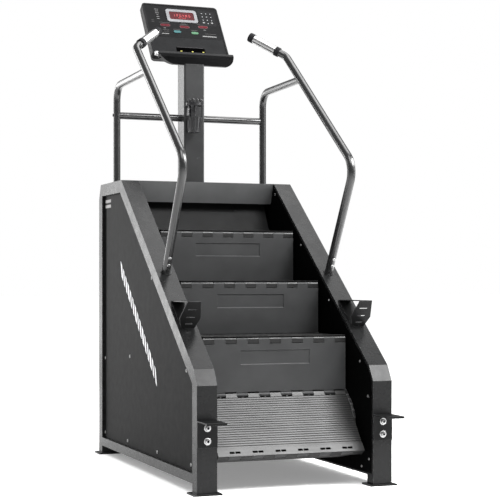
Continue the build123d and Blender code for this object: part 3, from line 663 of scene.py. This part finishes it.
POST_BOLT_HEIGHTS = (0.234, 0.188)
bm = bmesh.new()
for sign in (-1, 1):
    foot = Vector((sign * 0.3365, 0.478 - Y0, 0.779))
    along = (Vector((sign * 0.338, 0.245 - Y0, 1.181)) - foot).normalized()
    across = Vector((0, -along.z, along.y)).normalized()
    for distance in (0.038, 0.068):
        m = basis(foot + along * distance + across * (RAIL_R + 0.0002), (1, 0, 0), across)
        socket_head(bm, m, 0.0065, 0.005, 0.0034, 0.0035)
    for z in POST_BOLT_HEIGHTS:
        m = basis((sign * RAIL_X, -0.004 - Y0, z), (1, 0, 0), (0, -1, 0))
        socket_head(bm, m, 0.0085, 0.008, 0.0050, 0.006, (0.013, 0.002))
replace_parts(piece("socket_cap_bolts", bm, "zinc", "frame"), "socket_bolts")
# painted shade: black discs at the floor of each post bolt socket stand for the shade inside it
bm = bmesh.new()
for sign in (-1, 1):
    for z in POST_BOLT_HEIGHTS:
        m = basis((sign * RAIL_X, -0.00865 - Y0, z), (1, 0, 0), (0, -1, 0))
        lathe(bm, m, [(0, 0), (0.0048, 0), (0.0048, 0.0006), (0, 0.0006)], 24)
piece("socket_shade_discs", bm, "dark", "frame")


# ---------------------------------------------------------------- step chains
def chain_point(distance):
    """Point and direction of the chain line, this far along from the top of the front run."""
    arc = math.pi * SPROCKET_R
    d = distance % (2 * RUN + 2 * arc)
    c, start = BOTTOM_C, math.atan2(OUT[1], OUT[0])
    if d < RUN:
        at = (TOP_C[0] + SPROCKET_R * OUT[0] + d * DOWN[0], TOP_C[1] + SPROCKET_R * OUT[1] + d * DOWN[1])
        return at, DOWN
    d -= RUN
    if d > arc:
        d -= arc
        if d < RUN:
            at = (c[0] - SPROCKET_R * OUT[0] - d * DOWN[0], c[1] - SPROCKET_R * OUT[1] - d * DOWN[1])
            return at, (-DOWN[0], -DOWN[1])
        d -= RUN
        c, start = TOP_C, math.atan2(-OUT[1], -OUT[0])
    a = start + d / SPROCKET_R
    return (c[0] + SPROCKET_R * math.cos(a), c[1] + SPROCKET_R * math.sin(a)), (-math.sin(a), math.cos(a))


LINKS = 115
LINK = (2 * RUN + 2 * math.pi * SPROCKET_R) / LINKS
bm = bmesh.new()
for x in (-CHAIN_X, CHAIN_X):
    for i in range(LINKS):
        (ay, az), _ = chain_point(i * LINK)
        (by, bz), _ = chain_point((i + 1) * LINK)
        direction = Vector((0, by - ay, bz - az))
        mid = Vector((x, (ay + by) / 2 - Y0, (az + bz) / 2))
        gap = 0.0042 if i % 2 else 0.0028
        waist = []
        for k in range(12):
            t = 2 * math.pi * k / 12
            end_x = math.copysign(LINK / 2, math.cos(t))
            waist.append((end_x + 0.0054 * math.cos(t), 0.0054 * math.sin(t)))
        for side_sign in (-1, 1):
            m = basis(mid + Vector((side_sign * gap, 0, 0)), direction, (side_sign, 0, 0))
            slab(bm, m, waist, 0.0012, 0.0003)
        m = basis((x - 0.0027, ay - Y0, az), direction, (1, 0, 0))
        lathe(bm, m, [(0, 0), (0.0042, 0), (0.0042, 0.0054), (0, 0.0054)], 12)
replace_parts(piece("roller_chains", bm, "chain", "frame"), "chain_loops")

# ---------------------------------------------------------------- hinge slot shade, painted as dark patches
def walk(distance):
    """Point of the chain line this far past the first hinge, as the part's own steps are laid out."""
    (y, z), _ = chain_point(distance + RUN - LEAD)
    return y, z


def nose_of(p, q):
    """Where a tread from hinge p meets the riser down to hinge q."""
    d = math.hypot(q[0] - p[0], q[1] - p[1])
    u = ((q[0] - p[0]) / d, (q[1] - p[1]) / d)
    m = (TREAD**2 - RISE**2 + d * d) / (2 * d)
    h = math.sqrt(TREAD**2 - m * m)
    return p[0] + m * u[0] + h * u[1], p[1] + m * u[1] - h * u[0]


STEP_UNIT = 0.566 / 13
SLOT_ROWS = ((0.0156, 0.0121, 0.0030), (TREAD - 0.003, 0.0145, 0.0085))
TREAD_BODIES = (
    "flight", "flight", "flight", "tread_low", "tread_under", "return_run", "return_run",
    "tread_rear", "tread_top",
)
HEEL_LEAD = 3
for k, body in enumerate(TREAD_BODIES):
    heel, next_heel = (walk((k - HEEL_LEAD + step) * PITCH) for step in (0, 1))
    nose = nose_of(heel, next_heel)
    along = Vector((0, nose[0] - heel[0], nose[1] - heel[1])) / TREAD
    up = Vector((0, along.z, -along.y))
    bm = bmesh.new()
    # painted shade: near-black patches on each tread stand for the shade in the hinge slots
    for distance, height, wide in SLOT_ROWS:
        for i in range(-5, 6, 2):
            for shift in (-0.011, 0.011):
                base = Vector((i * STEP_UNIT + shift, heel[0] - Y0, heel[1]))
                m = basis(base + along * distance + up * height, (1, 0, 0), up)
                slab(bm, m, rounded(0.0185, wide, 0.001), 0.0002)
    piece("hinge_slot_shade_" + str(k), bm, "dark", body)

# ---------------------------------------------------------------- bottle holder trim
def round_cup(angle, radius, height):
    """A point on a circle about the bottle holder's axis."""
    return Vector((CUP[0] + radius * math.cos(angle), CUP[1] + radius * math.sin(angle), height))


bm = bmesh.new()
turn = math.radians(200)
outward = Vector((math.cos(turn), math.sin(turn), 0.07))
m = basis(round_cup(turn, 0.0337, CUP_PLATE), (0, 0, 1), outward)
slab(bm, m, rounded(0.044, 0.0115, 0.002), 0.0016, 0.0005)
piece("cage_bright_plate", bm, "chrome", "frame")

KNOB = [
    (0, 0), (0.0035, 0), (0.0035, 0.004), (0.006, 0.0065), (0.0068, 0.0105), (0.0055, 0.0145), (0, 0.0162),
]
RIB = [(0, 0), (0.0012, 0.001), (0.0016, 0.004), (0.0019, 0.054), (0.0012, 0.057), (0, 0.0575)]
RIBS = 14
bm = bmesh.new()
for turn in (215, 245, 275, 305, 335):
    at = round_cup(math.radians(turn), 0.0343, CUP_RING)
    lathe(bm, basis(at, (1, 0, 0), (0, 0, 1)), KNOB, 20)
for i in range(RIBS):
    a = 2 * math.pi * i / RIBS
    lean = Vector((math.cos(a) * 0.007, math.sin(a) * 0.007, 0.065)).normalized()
    m = basis(round_cup(a, 0.0248, CUP_BASE), (-math.sin(a), math.cos(a), 0), lean)
    lathe(bm, m, RIB, 10)
piece("cage_ribs_and_knobs", bm, "cage", "frame")
